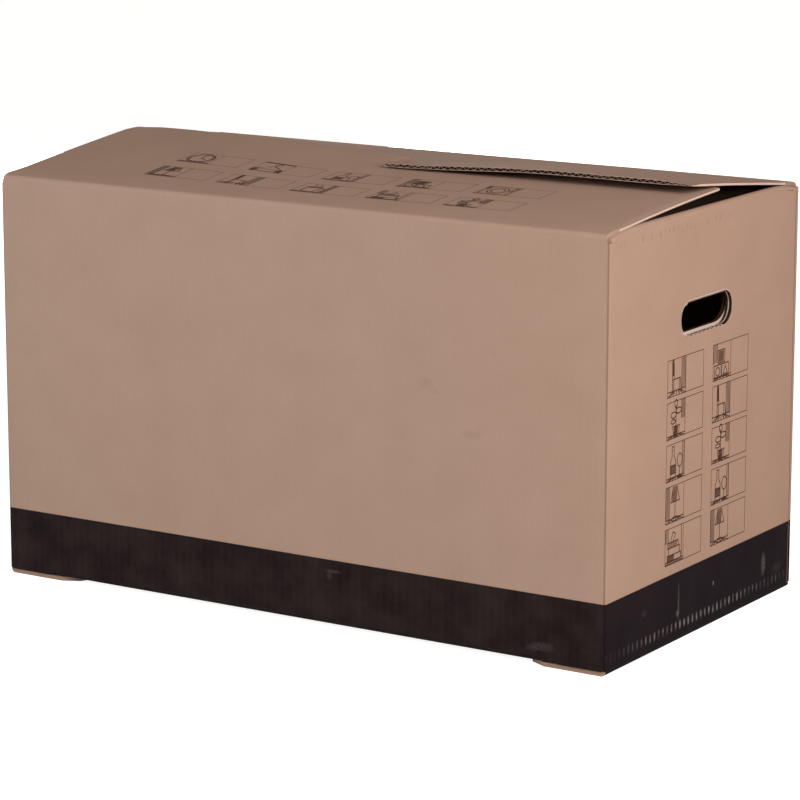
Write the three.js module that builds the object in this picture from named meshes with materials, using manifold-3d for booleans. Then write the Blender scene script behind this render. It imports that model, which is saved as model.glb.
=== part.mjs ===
// Moving box folded from one die-cut blank of single-wall corrugated board, closed as it stands on a floor.
// Millimetres, +Z up, +X along the length. z = 0 is the underside of the end bottom flaps.
import * as THREE from "three";
import { mergeVertices } from "three/addons/utils/BufferGeometryUtils.js";
import Module from "manifold-3d";

const wasm = await Module();
wasm.setup();

// Driving dimensions of the folded box
const length = 650;
const width = 356;
const wallHeight = 380;
const board = 3.8;
const layerGap = 0.3;
const foldRadius = 4.3;
const cornerRadius = 2.5;

// Corrugation as it shows on an edge cut across the flutes
const flutePitch = 7.9;
const liner = 0.5;
const medium = 0.55;
const fluteDepth = 6;

// Long top flaps: they overlap at mid width and pass over and under each other at a slit at mid length
const flapOverlap = 50;
const flapInset = 3;
const slitLength = 40;
const slitWidth = 6;
const restSlope = 0.0785;
const tipLift = 4.5;
const overTipSlope = 0.02;
const underTipSlope = -0.08;
const overHingeSlope = 0.135;
const overBow = 0.00008;
const underHingeSlope = 0.1;
const underBow = 0.000141;
const blendLength = 190;
const foldSettle = 7;

// End top flaps, folded right down inside, and the hand holes that run through wall and flap
const endFlapDepth = 203;
const endFlapLean = 0.035;
const endArch = 5.2;
const endArchPower = 5;
const holeWidth = 96;
const holeHeight = 31;
const holeCentreDrop = 94;
const innerHoleMargin = 4.5;
const tongueLength = 29;
const tongueWidth = 74;
const tongueTaper = 9;
const tongueRise = 62;
const tongueRootDrop = 1;
const tongueLift = 0.6;
const tongueClearance = 2;

// Bottom: the long flaps meet at mid width and the end flaps lie under them, each with a tucked tongue
const bottomMeetingGap = 2;
const bottomFlapWidth = 540;
const bottomFlapTaper = 3;
const endShoulder = 75;
const endBottomDepth = 178;
const endBottomInset = 1.5;
const neckDepth = 135;
const neckWidth = 100;
const rampStart = 141;
const rampRun = 10;
const tuckTipLength = 8;
const tuckTipTaper = 10;
const slotClearance = 3;

// Maker's joint at the rear right corner: the end wall carries a tab that is glued inside the rear wall
const tabLength = 38;
const tabEndTaper = 14;
const jointSetback = 0.5;

// Levels that follow from the sizes above
const lift = board + layerGap;
const topLevel = lift + wallHeight;
const ringBottom = lift + foldRadius;
const endTop = topLevel - board - layerGap;
const turnRadius = board + layerGap / 2;
const ringTop = endTop - turnRadius;
const halfLength = length / 2;
const halfWidth = width / 2;
const neckHalf = neckWidth / 2;
const holeLevel = topLevel - holeCentreDrop;
const flapDepth = halfWidth + flapOverlap / 2;
const weld = 2;

// A closed solid between two grids of points, with the cells that present() refuses left out
function sheetSolid(outer, inner, present = () => true) {
  const rows = outer.length;
  const columns = outer[0].length;
  const positions = [...outer.flat(), ...inner.flat()].flat();
  const triangles = [];
  const at = (side, i, j) => side * rows * columns + i * columns + j;
  const quad = (a, b, c, d) => triangles.push(a, b, c, a, c, d);
  const filled = (i, j) => i >= 0 && j >= 0 && i < rows - 1 && j < columns - 1 && present(i, j);
  for (let i = 0; i < rows - 1; i++) {
    for (let j = 0; j < columns - 1; j++) {
      if (!filled(i, j)) continue;
      quad(at(0, i, j), at(0, i + 1, j), at(0, i + 1, j + 1), at(0, i, j + 1));
      quad(at(1, i, j), at(1, i, j + 1), at(1, i + 1, j + 1), at(1, i + 1, j));
      if (!filled(i - 1, j)) quad(at(0, i, j), at(0, i, j + 1), at(1, i, j + 1), at(1, i, j));
      if (!filled(i + 1, j)) quad(at(0, i + 1, j + 1), at(0, i + 1, j), at(1, i + 1, j), at(1, i + 1, j + 1));
      if (!filled(i, j - 1)) quad(at(0, i + 1, j), at(0, i, j), at(1, i, j), at(1, i + 1, j));
      if (!filled(i, j + 1)) quad(at(0, i, j + 1), at(0, i + 1, j + 1), at(1, i + 1, j + 1), at(1, i, j + 1));
    }
  }
  return solidFrom(positions, triangles);
}

// Vertices and triangles as a solid, turned the right way out whatever side the grid was drawn from
function solidFrom(positions, triangles) {
  const geometry = new THREE.BufferGeometry();
  geometry.setAttribute("position", new THREE.Float32BufferAttribute(positions, 3));
  geometry.setIndex(triangles);
  return solidOf(geometry);
}

function solidOf(geometry) {
  geometry.deleteAttribute("normal");
  geometry.deleteAttribute("uv");
  const merged = mergeVertices(geometry, 1e-4);
  const vertProperties = merged.attributes.position.array;
  const triVerts = new Uint32Array(merged.index.array);
  if (signedVolume(vertProperties, triVerts) < 0) {
    for (let i = 0; i < triVerts.length; i += 3) {
      [triVerts[i + 1], triVerts[i + 2]] = [triVerts[i + 2], triVerts[i + 1]];
    }
  }
  return new wasm.Manifold(new wasm.Mesh({ numProp: 3, vertProperties, triVerts }));
}

function signedVolume(p, triangles) {
  const corner = (k) => new THREE.Vector3(p[3 * k], p[3 * k + 1], p[3 * k + 2]);
  let sum = 0;
  for (let i = 0; i < triangles.length; i += 3) {
    sum += corner(triangles[i]).dot(corner(triangles[i + 1]).cross(corner(triangles[i + 2])));
  }
  return sum;
}

// The same solid turned half round about the vertical axis, for the rear and left twins
function halfTurn(solid) {
  return solid.rotate([0, 0, 180]);
}

// Evenly spaced values from a to b, both included
const spaced = (a, b, steps) => Array.from({ length: steps + 1 }, (_, k) => a + ((b - a) * k) / steps);
const mix = (a, b, t) => a + (b - a) * t;
const smooth = (t) => t * t * (3 - 2 * t);

// Height of a long top flap above its crease at a distance d from the hinge, where it lies over its twin,
// where it lies under it, and on the two sides of the slit
const restHeight = (d) => restSlope * d;
const overFar = (d) => overHingeSlope * d - overBow * d * d;
const underFar = (d) => underHingeSlope * d - underBow * d * d;
const slitRoot = flapDepth - slitLength;
const tipBend = 2 * (flapDepth - flapOverlap / 2 - slitRoot);

function tipHeight(d, sign, endSlope) {
  if (d <= slitRoot) return restHeight(d);
  const along = d - slitRoot;
  const bend = Math.min(along / tipBend, 1);
  return restHeight(slitRoot) + sign * tipLift * bend + endSlope * Math.max(along - tipBend, 0);
}

// Front flap: x below zero lies over the rear flap, x above zero under it
function flapHeight(x, d) {
  const blend = smooth(Math.min(Math.abs(x) / blendLength, 1));
  if (x < 0) return mix(tipHeight(d, 1, overTipSlope), overFar(d), blend);
  return mix(tipHeight(d, -1, underTipSlope), underFar(d), blend);
}

const flapSide = halfLength - flapInset;
const flapColumns = [
  ...spaced(-flapSide, -blendLength, 3),
  ...spaced(-blendLength, -slitWidth / 2, 9).slice(1),
  ...spaced(slitWidth / 2, blendLength, 9),
  ...spaced(blendLength, flapSide, 3).slice(1),
];
const foldAngles = spaced(Math.PI, Math.PI / 2, 5);
const flapRows = [
  ...spaced(foldRadius + foldSettle, flapDepth - flapOverlap, 6),
  slitRoot,
  ...spaced(slitRoot, slitRoot + tipBend, 3).slice(1),
  flapDepth,
];
const slitStart = 1 + foldAngles.length + flapRows.indexOf(slitRoot);

// Height of the grid along x, so that the flute pockets follow the facets of the sheet
function facetHeight(x, d) {
  const k = Math.max(1, flapColumns.findIndex((value) => value >= x));
  const [a, b] = [flapColumns[k - 1], flapColumns[k]];
  return mix(flapHeight(a, d), flapHeight(b, d), (x - a) / (b - a));
}

function longFlapPoints(side) {
  const radius = foldRadius - side * board;
  const face = -halfWidth + side * board;
  const welded = flapColumns.map((x) => [x, face, ringTop - weld]);
  const fold = foldAngles.map((angle) =>
    flapColumns.map((x) => [
      x,
      -halfWidth + foldRadius + radius * Math.cos(angle),
      topLevel - foldRadius + radius * Math.sin(angle),
    ]),
  );
  const flat = flapRows.map((d) =>
    flapColumns.map((x) => [x, -halfWidth + d, topLevel + flapHeight(x, d) - side * board]),
  );
  return [welded, ...fold, ...flat];
}

// Open flutes on the free edge: pockets between the zigzag medium and each liner
function flutePockets() {
  const positions = [];
  const triangles = [];
  const pocketHalf = flutePitch / 2 - medium;
  const count = Math.floor((2 * flapSide - flutePitch) / flutePitch);
  const first = -((count - 1) / 2) * flutePitch;
  for (let k = 0; k < 2 * count - 1; k++) {
    const x = first + (k * flutePitch) / 2;
    if (Math.abs(x) < slitWidth / 2 + pocketHalf + medium) continue;
    const base = k % 2 ? board - liner : liner;
    const tip = k % 2 ? liner + medium : board - liner - medium;
    const start = positions.length / 3;
    for (const [depth, y] of [[flapDepth, flapDepth + 1], [flapDepth - fluteDepth, flapDepth - fluteDepth]]) {
      for (const [dx, below] of [[-pocketHalf, base], [pocketHalf, base], [0, tip]]) {
        positions.push(x + dx, -halfWidth + y, topLevel + facetHeight(x + dx, depth) - below);
      }
    }
    const faces = k % 2 ? [[0, 1, 2], [3, 5, 4], [0, 3, 4, 1], [1, 4, 5, 2], [2, 5, 3, 0]]
      : [[0, 2, 1], [3, 4, 5], [0, 1, 4, 3], [1, 2, 5, 4], [2, 0, 3, 5]];
    for (const [a, b, c, d] of faces) {
      triangles.push(start + a, start + b, start + c);
      if (d !== undefined) triangles.push(start + a, start + c, start + d);
    }
  }
  return solidFrom(positions, triangles);
}

function longTopFlap() {
  const slitColumn = flapColumns.indexOf(-slitWidth / 2);
  const present = (row, column) => !(column === slitColumn && row >= slitStart);
  return sheetSolid(longFlapPoints(0), longFlapPoints(1), present).subtract(flutePockets());
}

// Wall ring, with the raw edge of the rear wall and the bend of the glued tab at the rear right corner
function wallRing() {
  const r = cornerRadius;
  const jointY = halfWidth - board - layerGap;
  const shape = new THREE.Shape();
  shape.moveTo(-halfLength + r, -halfWidth);
  shape.lineTo(halfLength - r, -halfWidth);
  shape.absarc(halfLength - r, -halfWidth + r, r, -Math.PI / 2, 0, false);
  shape.lineTo(halfLength, jointY - r);
  shape.absarc(halfLength - r, jointY - r, r, 0, Math.PI / 2, false);
  shape.lineTo(halfLength - r, halfWidth - board);
  shape.lineTo(halfLength - jointSetback, halfWidth - board);
  shape.lineTo(halfLength - jointSetback, halfWidth);
  shape.lineTo(-halfLength + r, halfWidth);
  shape.absarc(-halfLength + r, halfWidth - r, r, Math.PI / 2, Math.PI, false);
  shape.lineTo(-halfLength, -halfWidth + r);
  shape.absarc(-halfLength + r, -halfWidth + r, r, Math.PI, 1.5 * Math.PI, false);
  const hole = new THREE.Path();
  hole.moveTo(-halfLength + board, -halfWidth + board);
  hole.lineTo(-halfLength + board, halfWidth - board);
  hole.lineTo(halfLength - board, halfWidth - board);
  hole.lineTo(halfLength - board, -halfWidth + board);
  hole.closePath();
  shape.holes.push(hole);
  const rise = { depth: ringTop - ringBottom, bevelEnabled: false, curveSegments: 4 };
  const ring = new THREE.ExtrudeGeometry(shape, rise);
  ring.translate(0, 0, ringBottom);
  return solidOf(ring);
}

// The tab itself, a tapered strip fused to the inside of the rear wall
function glueTab() {
  const shape = new THREE.Shape();
  shape.moveTo(0, 0);
  shape.lineTo(tabLength, tabEndTaper);
  shape.lineTo(tabLength, ringTop - ringBottom - tabEndTaper);
  shape.lineTo(0, ringTop - ringBottom);
  const tab = new THREE.ExtrudeGeometry(shape, { depth: board + weld / 2, bevelEnabled: false });
  tab.rotateX(Math.PI / 2);
  tab.scale(-1, 1, 1);
  tab.index = null;
  tab.translate(halfLength - board + weld / 2, halfWidth - board + weld / 2, ringBottom);
  return solidOf(tab);
}

// End top flap: over the wall's top in a tight turn and down inside, leaning slightly off the wall.
// Its fold stands highest at mid width, where the long flaps leave it room.
function endTopFlap() {
  const turn = spaced(0, Math.PI, 6);
  const sideReach = halfWidth - board - layerGap;
  const across = spaced(-sideReach, sideReach, 12);
  const points = (side) => {
    const radius = turnRadius - side * board;
    const path = [[halfLength - side * board, ringTop - weld, 0]];
    for (const angle of turn) {
      path.push([halfLength - turnRadius + radius * Math.cos(angle), ringTop + radius * Math.sin(angle), 1]);
    }
    const inside = halfLength - 2 * turnRadius + side * board;
    path.push([inside - endFlapLean * endFlapDepth, ringTop - endFlapDepth, 0]);
    return path.map(([x, z, arched]) => across.map((y) => {
      const arch = endArch * (1 - (Math.abs(y) / sideReach) ** endArchPower);
      return [x, y, z + arched * arch];
    }));
  };
  return sheetSolid(points(0), points(1));
}

// A round-ended hand hole as a cutter that runs along X from one place to another
function handHoleCutter(from, to, margin) {
  const r = holeHeight / 2 + margin;
  const reach = holeWidth / 2 + margin - r;
  const shape = new THREE.Shape();
  shape.moveTo(-reach, -r);
  shape.lineTo(reach, -r);
  shape.absarc(reach, 0, r, -Math.PI / 2, Math.PI / 2, false);
  shape.lineTo(-reach, r);
  shape.absarc(-reach, 0, r, Math.PI / 2, 1.5 * Math.PI, false);
  const run = { depth: to - from, bevelEnabled: false, curveSegments: 10 };
  const cutter = new THREE.ExtrudeGeometry(shape, run);
  cutter.applyMatrix4(new THREE.Matrix4().makeBasis(
    new THREE.Vector3(0, 1, 0), new THREE.Vector3(0, 0, 1), new THREE.Vector3(1, 0, 0)));
  cutter.translate(from, 0, holeLevel);
  return solidOf(cutter);
}

// The punched tongue of the wall, pushed in through the flap's hole and up behind the flap
function handHoleTongue() {
  const hingeZ = holeLevel + holeHeight / 2;
  const rise = (tongueRise * Math.PI) / 180;
  const bendX = halfLength - board - weld;
  const reachX = halfLength - 2 * turnRadius - endFlapLean * holeCentreDrop - tongueClearance;
  const points = (side) => {
    const drop = board * side;
    const path = [
      [halfLength - board / 2, hingeZ + weld - side * (weld + tongueRootDrop)],
      [bendX, hingeZ - drop],
      [reachX, hingeZ + tongueLift - drop],
      [reachX - board * Math.sin(rise) * side - tongueLength * Math.cos(rise),
        hingeZ + tongueLift - board * Math.cos(rise) * side + tongueLength * Math.sin(rise)],
    ];
    const halves = [tongueWidth / 2, tongueWidth / 2, tongueWidth / 2, tongueWidth / 2 - tongueTaper];
    return path.map(([x, z], k) => [-1, 1].map((s) => [x, s * halves[k], z]));
  };
  return sheetSolid(points(0), points(1));
}

// Long bottom flap: folds in at the foot of the long wall, with half of each tongue slot in its free edge
function longBottomFlap() {
  const depth = halfWidth - bottomMeetingGap / 2;
  const slotOuter = halfLength - rampStart + slotClearance;
  const slotInner = halfLength - rampStart - rampRun - slotClearance;
  const half = bottomFlapWidth / 2;
  const columns = [-half, -slotOuter, -slotInner, slotInner, slotOuter, half];
  const angles = spaced(Math.PI, 1.5 * Math.PI, 5);
  const slotDepth = halfWidth - neckHalf - slotClearance;
  const stretch = (x, share) => (Math.abs(x) === half ? Math.sign(x) * (half - bottomFlapTaper * share) : x);
  const points = (side) => {
    const radius = foldRadius - side * board;
    const rows = [[-halfWidth + side * board, ringBottom + weld, 0]];
    for (const angle of angles) {
      rows.push([
        -halfWidth + foldRadius + radius * Math.cos(angle),
        ringBottom + radius * Math.sin(angle),
        0,
      ]);
    }
    rows.push([-halfWidth + slotDepth, lift + side * board, 1]);
    rows.push([-halfWidth + depth, lift + side * board, 1]);
    return rows.map(([y, z, share]) => columns.map((x) => [stretch(x, share), y, z]));
  };
  const lastRow = angles.length + 1;
  const present = (row, column) => !(row === lastRow && (column === 1 || column === 3));
  return sheetSolid(points(0), points(1), present);
}

// End bottom flap: outermost, full width at the shoulder, tapered to a tongue tucked up through the slot
function endBottomFlap() {
  const full = halfWidth - endBottomInset;
  const tuck = 2 * lift;
  const plan = [
    [foldRadius, full, 0],
    [endShoulder, full, 0],
    [neckDepth, neckHalf, 0],
    [rampStart, neckHalf, 0],
    [rampStart + rampRun, neckHalf, tuck],
    [endBottomDepth - tuckTipLength, neckHalf, tuck],
    [endBottomDepth, neckHalf - tuckTipTaper, tuck],
  ];
  const points = (side) => {
    const radius = foldRadius - side * board;
    const rows = [[halfLength - side * board, ringBottom + weld, halfWidth - cornerRadius]];
    for (const angle of spaced(0, -Math.PI / 2, 5)) {
      rows.push([
        halfLength - foldRadius + radius * Math.cos(angle),
        foldRadius + radius * Math.sin(angle),
        halfWidth - cornerRadius + (cornerRadius - endBottomInset) * (-angle / (Math.PI / 2)),
      ]);
    }
    for (const [depth, half, rise] of plan.slice(1)) {
      rows.push([halfLength - depth, rise + side * board, half]);
    }
    return rows.map(([x, z, half]) => spaced(-half, half, 2).map((y) => [x, y, z]));
  };
  return sheetSolid(points(0), points(1));
}

// One end of the box: turned-in flap with its hand hole, tongue and bottom flap
function boxEnd() {
  const flapInside = halfLength - 2 * turnRadius - endFlapLean * endFlapDepth;
  const flap = endTopFlap().subtract(
    handHoleCutter(flapInside - weld, halfLength - board - layerGap / 2, innerHoleMargin));
  return flap.add(handHoleTongue()).add(endBottomFlap());
}

function buildCarton() {
  let walls = wallRing().add(glueTab());
  const hole = handHoleCutter(halfLength - board - weld / 4, halfLength + weld, 0);
  walls = walls.subtract(hole).subtract(halfTurn(hole));
  for (const piece of [longTopFlap(), longBottomFlap(), boxEnd()]) {
    walls = walls.add(piece).add(halfTurn(piece));
  }
  const { numProp, vertProperties, triVerts } = walls.getMesh();
  const positions = new Float32Array((vertProperties.length / numProp) * 3);
  for (let k = 0; k < positions.length / 3; k++) {
    positions.set(vertProperties.subarray(k * numProp, k * numProp + 3), k * 3);
  }
  const geometry = new THREE.BufferGeometry();
  geometry.setAttribute("position", new THREE.BufferAttribute(positions, 3));
  geometry.setIndex(new THREE.BufferAttribute(triVerts, 1));
  geometry.computeVertexNormals();
  const kraft = new THREE.MeshStandardMaterial({ color: 0xa58a79, roughness: 0.85, metalness: 0 });
  const carton = new THREE.Mesh(geometry, kraft);
  carton.name = "carton";
  return carton;
}

const movingBox = new THREE.Group();
movingBox.add(buildCarton());

export default movingBox;
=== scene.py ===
import math
import bpy
import numpy as np
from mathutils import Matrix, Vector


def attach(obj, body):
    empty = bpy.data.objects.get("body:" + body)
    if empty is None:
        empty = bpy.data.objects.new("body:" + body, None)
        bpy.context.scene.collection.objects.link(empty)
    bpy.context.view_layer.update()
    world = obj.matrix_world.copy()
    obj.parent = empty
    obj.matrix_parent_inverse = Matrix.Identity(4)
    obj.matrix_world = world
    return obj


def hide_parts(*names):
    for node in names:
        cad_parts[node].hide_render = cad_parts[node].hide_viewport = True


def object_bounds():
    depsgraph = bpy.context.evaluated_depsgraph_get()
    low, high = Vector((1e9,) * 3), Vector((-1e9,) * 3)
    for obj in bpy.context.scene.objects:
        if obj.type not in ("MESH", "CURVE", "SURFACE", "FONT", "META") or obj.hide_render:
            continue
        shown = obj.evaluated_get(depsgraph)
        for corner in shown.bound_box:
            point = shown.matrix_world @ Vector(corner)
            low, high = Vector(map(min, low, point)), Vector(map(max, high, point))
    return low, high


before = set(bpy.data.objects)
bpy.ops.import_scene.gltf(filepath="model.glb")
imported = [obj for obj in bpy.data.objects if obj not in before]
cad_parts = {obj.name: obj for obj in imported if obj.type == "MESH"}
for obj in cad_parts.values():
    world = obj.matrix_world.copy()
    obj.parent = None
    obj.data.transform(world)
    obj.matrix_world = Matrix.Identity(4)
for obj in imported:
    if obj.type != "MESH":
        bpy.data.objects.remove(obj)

# Moving box: one folded blank of single-wall corrugated board. Sizes in mm, metres in the meshes.
cadLow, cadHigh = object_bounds()

board = {
    "thickness": 3.8,      # C flute board
    "liner": 0.44,
    "medium": 0.42,
    "pitch": 7.9,          # flute spacing
    "gap": 0.3,            # air between two layers that lie on each other
    "fold": 4.3,           # outer radius of a crease
    "corner": 2.4,         # outer radius of the upright creases
    "cornerInside": 0.3,   # and their inner radius
}
carton = {
    "length": (cadHigh.x - cadLow.x) * 1000,
    "width": (cadHigh.y - cadLow.y) * 1000,
    "height": 380.0,       # foot crease to top crease
}
handHole = {
    "width": 96.0,
    "height": 31.0,
    "drop": 94.0,          # top crease to the hole's middle
    "groove": 0.7,         # depth of the open flutes round the hole
    "nick": 0.14,          # burr that the die left standing
    "rim": 0.55,           # breadth of the torn liner round the hole
}
halfLength, halfWidth = carton["length"] / 2, carton["width"] / 2
thick = board["thickness"]
lift = thick + board["gap"]
topLevel = lift + carton["height"]
turnRadius = thick + board["gap"] / 2
endTurnLevel = topLevel - lift - turnRadius
holeLevel = topLevel - handHole["drop"]
holeStraight = (handHole["width"] - handHole["height"]) / 2
fluteRoom = thick - 2 * board["liner"] - board["medium"]
sharpAngle = math.radians(38)


# helpers for colour, nodes and meshes
def hexColour(text):
    # each sRGB channel to linear: c/12.92 below 0.04045, else ((c + 0.055)/1.055)^2.4
    channels = [int(text[k:k + 2], 16) / 255 for k in (1, 3, 5)]
    return tuple(c / 12.92 if c <= 0.04045 else ((c + 0.055) / 1.055) ** 2.4 for c in channels) + (1.0,)


def addNode(tree, kind, inputs=(), out=0, **settings):
    # inputs are values or other nodes' outputs, in socket order or by socket name; gives back one output
    node = tree.nodes.new("ShaderNode" + kind)
    for key, value in settings.items():
        setattr(node, key, value)
    for key, value in inputs.items() if isinstance(inputs, dict) else enumerate(inputs):
        if isinstance(value, bpy.types.NodeSocket):
            tree.links.new(value, node.inputs[key])
        else:
            node.inputs[key].default_value = value
    return node.outputs[out] if len(node.outputs) else node


def overlap(tree, *masks):
    # masks multiplied, so that only what lies in all of them stays
    total = masks[0]
    for mask in masks[1:]:
        total = addNode(tree, "Math", [total, mask], operation="MULTIPLY")
    return total


def layered(tree, colour, *layers):
    # each layer is a mask and the colour that it lays over what is below
    for mask, over in layers:
        colour = addNode(tree, "Mix", {0: mask, 6: colour, 7: over}, 2, data_type="RGBA")
    return colour


def stripe(tree, value, centre, inner, outer, first, last):
    # first where value (m) is within inner (mm) of the centre (mm), last beyond outer, a slope between
    shifted = addNode(tree, "Math", [value, centre / 1000], operation="SUBTRACT")
    away = addNode(tree, "Math", [shifted], operation="ABSOLUTE")
    return addNode(tree, "MapRange", [away, inner / 1000, outer / 1000, first, last])


def newMaterial(name):
    material = bpy.data.materials.new(name)
    material.use_nodes = True
    material.node_tree.nodes.clear()
    return material, material.node_tree


def smooth(t):
    return t * t * (3 - 2 * t)


def boardPart(outer, inner, blank, materials=(0, 1, 2), present=None):
    # closed sheet between two grids: every cell gives an outer and an inner quad, and every side of a cell
    # that has no neighbour gives a rim quad
    rows, cols = outer.shape[:2]
    count = rows * cols
    index = np.arange(count).reshape(rows, cols)
    if present is None:
        present = np.ones((rows - 1, cols - 1), bool)
    a, b, c, d = index[:-1, :-1], index[1:, :-1], index[1:, 1:], index[:-1, 1:]
    padded = np.pad(present, 1)
    lastRow, nextRow = padded[:-2, 1:-1], padded[2:, 1:-1]
    lastCol, nextCol = padded[1:-1, :-2], padded[1:-1, 2:]
    quads = [
        np.stack([a, b, c, d], -1)[present],
        np.stack([a, d, c, b], -1)[present] + count,
        np.stack([a, d, d + count, a + count], -1)[present & ~lastRow],
        np.stack([c, b, b + count, c + count], -1)[present & ~nextRow],
        np.stack([b, a, a + count, b + count], -1)[present & ~lastCol],
        np.stack([d, c, c + count, d + count], -1)[present & ~nextCol],
    ]
    slots = [np.full(len(q), materials[min(k, 2)]) for k, q in enumerate(quads)]
    points = np.concatenate([outer.reshape(-1, 3), inner.reshape(-1, 3)])
    flat = np.concatenate([blank.reshape(-1, 2)] * 2)
    faces, slots = np.concatenate(quads), np.concatenate(slots)
    used, renumbered = np.unique(faces, return_inverse=True)
    points, flat, faces = points[used], flat[used], renumbered.reshape(faces.shape)
    p = points[faces]
    # signed volume of the quads as two triangles each, negative where the sheet was drawn inside out
    volume = np.einsum("ij,ij->", p[:, 0], np.cross(p[:, 1], p[:, 2]) + np.cross(p[:, 2], p[:, 3]))
    if volume < 0:
        faces = faces[:, ::-1]
    return {"points": points, "flat": flat, "faces": faces, "slots": slots}


def halfTurn(part):
    # the same part turned 180 degrees about the upright axis
    return {**part, "points": part["points"] * np.array([-1, -1, 1.0])}


def addObject(name, data):
    made = bpy.data.objects.new(name, data)
    bpy.context.scene.collection.objects.link(made)
    return made


def makePiece(name, parts, materials):
    offset, faces = 0, []
    for part in parts:
        faces.append(part["faces"] + offset)
        offset += len(part["points"])
    points = np.concatenate([p["points"] for p in parts]) / 1000
    flat = np.concatenate([p["flat"] for p in parts]) / 1000
    faces = np.concatenate(faces)
    slots = np.concatenate([p["slots"] for p in parts])
    mesh = bpy.data.meshes.new(name)
    mesh.vertices.add(len(points))
    mesh.vertices.foreach_set("co", points.astype(np.float32).ravel())
    mesh.loops.add(faces.size)
    mesh.loops.foreach_set("vertex_index", faces.astype(np.int32).ravel())
    mesh.polygons.add(len(faces))
    mesh.polygons.foreach_set("loop_start", np.arange(0, faces.size, 4, dtype=np.int32))
    mesh.polygons.foreach_set("material_index", slots.astype(np.int32))
    mesh.update(calc_edges=True)
    layer = mesh.uv_layers.new(name="blank")
    layer.data.foreach_set("uv", flat[faces.ravel()].astype(np.float32).ravel())
    mesh.polygons.foreach_set("use_smooth", np.ones(len(faces), bool))
    mesh.set_sharp_from_angle(angle=sharpAngle)
    for material in materials:
        mesh.materials.append(material)
    mesh.validate()
    piece = addObject(name, mesh)
    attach(piece, "root")
    return piece


def makePair(names, parts, materials):
    # a piece and its twin, which is the same turned half round
    makePiece(names[0], parts, materials)
    makePiece(names[1], [halfTurn(part) for part in parts], materials)


print("helpers ready")

# materials
paper = {
    "kraftLight": "#B59B8B",
    "kraftDark": "#A28877",
    "fibre": (2.4, 0.35),  # mm, length and breadth of a visible fibre bundle
    "noises": ((55.0, 4.0, 0.55), (1.1, 2.0, 0.7)),    # size in mm, detail and roughness of clouds and specks
    "smudge": "#6E5A4E",
    "pressedFluteShade": "#7C6252",  # painted shade of the flutes where the liner was pressed in
    "creased": "#5A4438",  # painted shade in the upright corner creases
}
band = {
    "top": 60.2,           # mm above the foot crease
    "foot": -9.0,          # it runs on round the crease
    "ragged": 0.6,         # mm, unevenness of its edges
    "ink": "#1A1213",
    "worn": "#453838",
    "rubbed": "#8E868C",
    "ends": "#120B10",     # painted shade: the end panels' ink is drawn darker
    # size in mm, detail and roughness of the ink's edge grain, its patches, its fine lay and its slow clouds
    "noises": ((1.5, 3.0, 0.5), (14.0, 3.0, 0.5), (0.9, 4.0, 0.75), (38.0, 3.0, 0.6)),
}
marks = {
    # rubs and smudges: across, height, half breadth, half height in mm, strength; across is y on the right
    # end and x on the front
    "endRubs": ((122.0, 34.0, 4.0, 10.0, 0.36), (22.0, 38.4, 1.5, 2.0, 0.9), (-44.3, 36.0, 1.6, 17.0, 0.24),
                (-46.0, 26.0, 2.6, 3.0, 0.4), (-108.0, 40.5, 5.0, 3.0, 0.08), (150.0, 24.0, 9.0, 5.0, 0.07)),
    "frontRubs": ((264.0, 18.0, 11.0, 4.0, 0.12), (253.0, 15.5, 6.0, 3.0, 0.08), (46.0, 54.0, 8.0, 1.4, 0.16),
                  (42.0, 50.0, 3.0, 4.0, 0.1)),
    "frontSmudges": ((143.0, 237.0, 7.0, 5.0, 0.35), (152.0, 231.0, 4.0, 3.0, 0.4),
                     (189.0, 197.0, 8.0, 4.0, 0.45), (197.0, 199.0, 3.0, 5.0, 0.3)),
    "dashLevel": 15.0,     # mm above the floor
    "dashHalf": 4.6,
    "pressLevel": 372.0,
}


def blankNode(tree):
    # place on the flat blank, in metres: x round the walls or along a flap, y up from the foot crease
    return addNode(tree, "UVMap", out="UV", uv_map="blank")


def kraftColour(tree, place, light, dark):
    # unbleached kraft liner: brown pulp with slow clouding, short fibre bundles and fine specks, and a faint
    # painted shade along the flutes
    length, breadth = paper["fibre"]
    stretched = addNode(tree, "Mapping", {"Vector": place, "Scale": (1000 / length, 1000 / breadth, 1)})
    fibres = addNode(tree, "TexNoise", {"Vector": stretched, "Scale": 1.0, "Detail": 3.0, "Roughness": 0.6})
    clouds, specks = (
        addNode(tree, "TexNoise", {"Vector": place, "Scale": 1000 / size, "Detail": detail, "Roughness": rough})
        for size, detail, rough in paper["noises"])
    flutes = addNode(tree, "TexWave", {
        "Vector": place, "Scale": 1000 / board["pitch"] / (20 / (2 * math.pi)), "Distortion": 0.0}, 1,
        bands_direction="X")
    total = -0.37
    # the flutes' small share of the tone is painted washboard shade
    for pattern, share in ((fibres, 0.75), (clouds, 0.36), (specks, 0.5), (flutes, 0.02)):
        total = addNode(tree, "Math", [pattern, share, total], operation="MULTIPLY_ADD")
    tone = addNode(tree, "MapRange", [total, 0.2, 0.85, 0.0, 1.0])
    return layered(tree, hexColour(dark), (tone, hexColour(light))), fibres, flutes


def kraftRelief(tree, fibres, flutes):
    # washboard relief where the liner sinks between flute tips, under a fine fibre tooth, both about 0.06 mm
    tooth = addNode(tree, "Bump", {"Height": fibres, "Strength": 0.35, "Distance": 0.00006})
    return addNode(tree, "Bump", {"Height": flutes, "Strength": 0.08, "Distance": 0.00006, "Normal": tooth})


def finishPaper(tree, colour, normal, roughness=0.88, gloss=0.08):
    shader = addNode(tree, "BsdfPrincipled", {
        "Base Color": colour, "Roughness": roughness, "IOR": 1.45, "Specular IOR Level": gloss,
        "Normal": normal})
    addNode(tree, "OutputMaterial", {"Surface": shader})


def makeKraft(name, light, dark):
    material, tree = newMaterial(name)
    colour, fibres, flutes = kraftColour(tree, blankNode(tree), light, dark)
    finishPaper(tree, colour, kraftRelief(tree, fibres, flutes))
    return material


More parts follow.
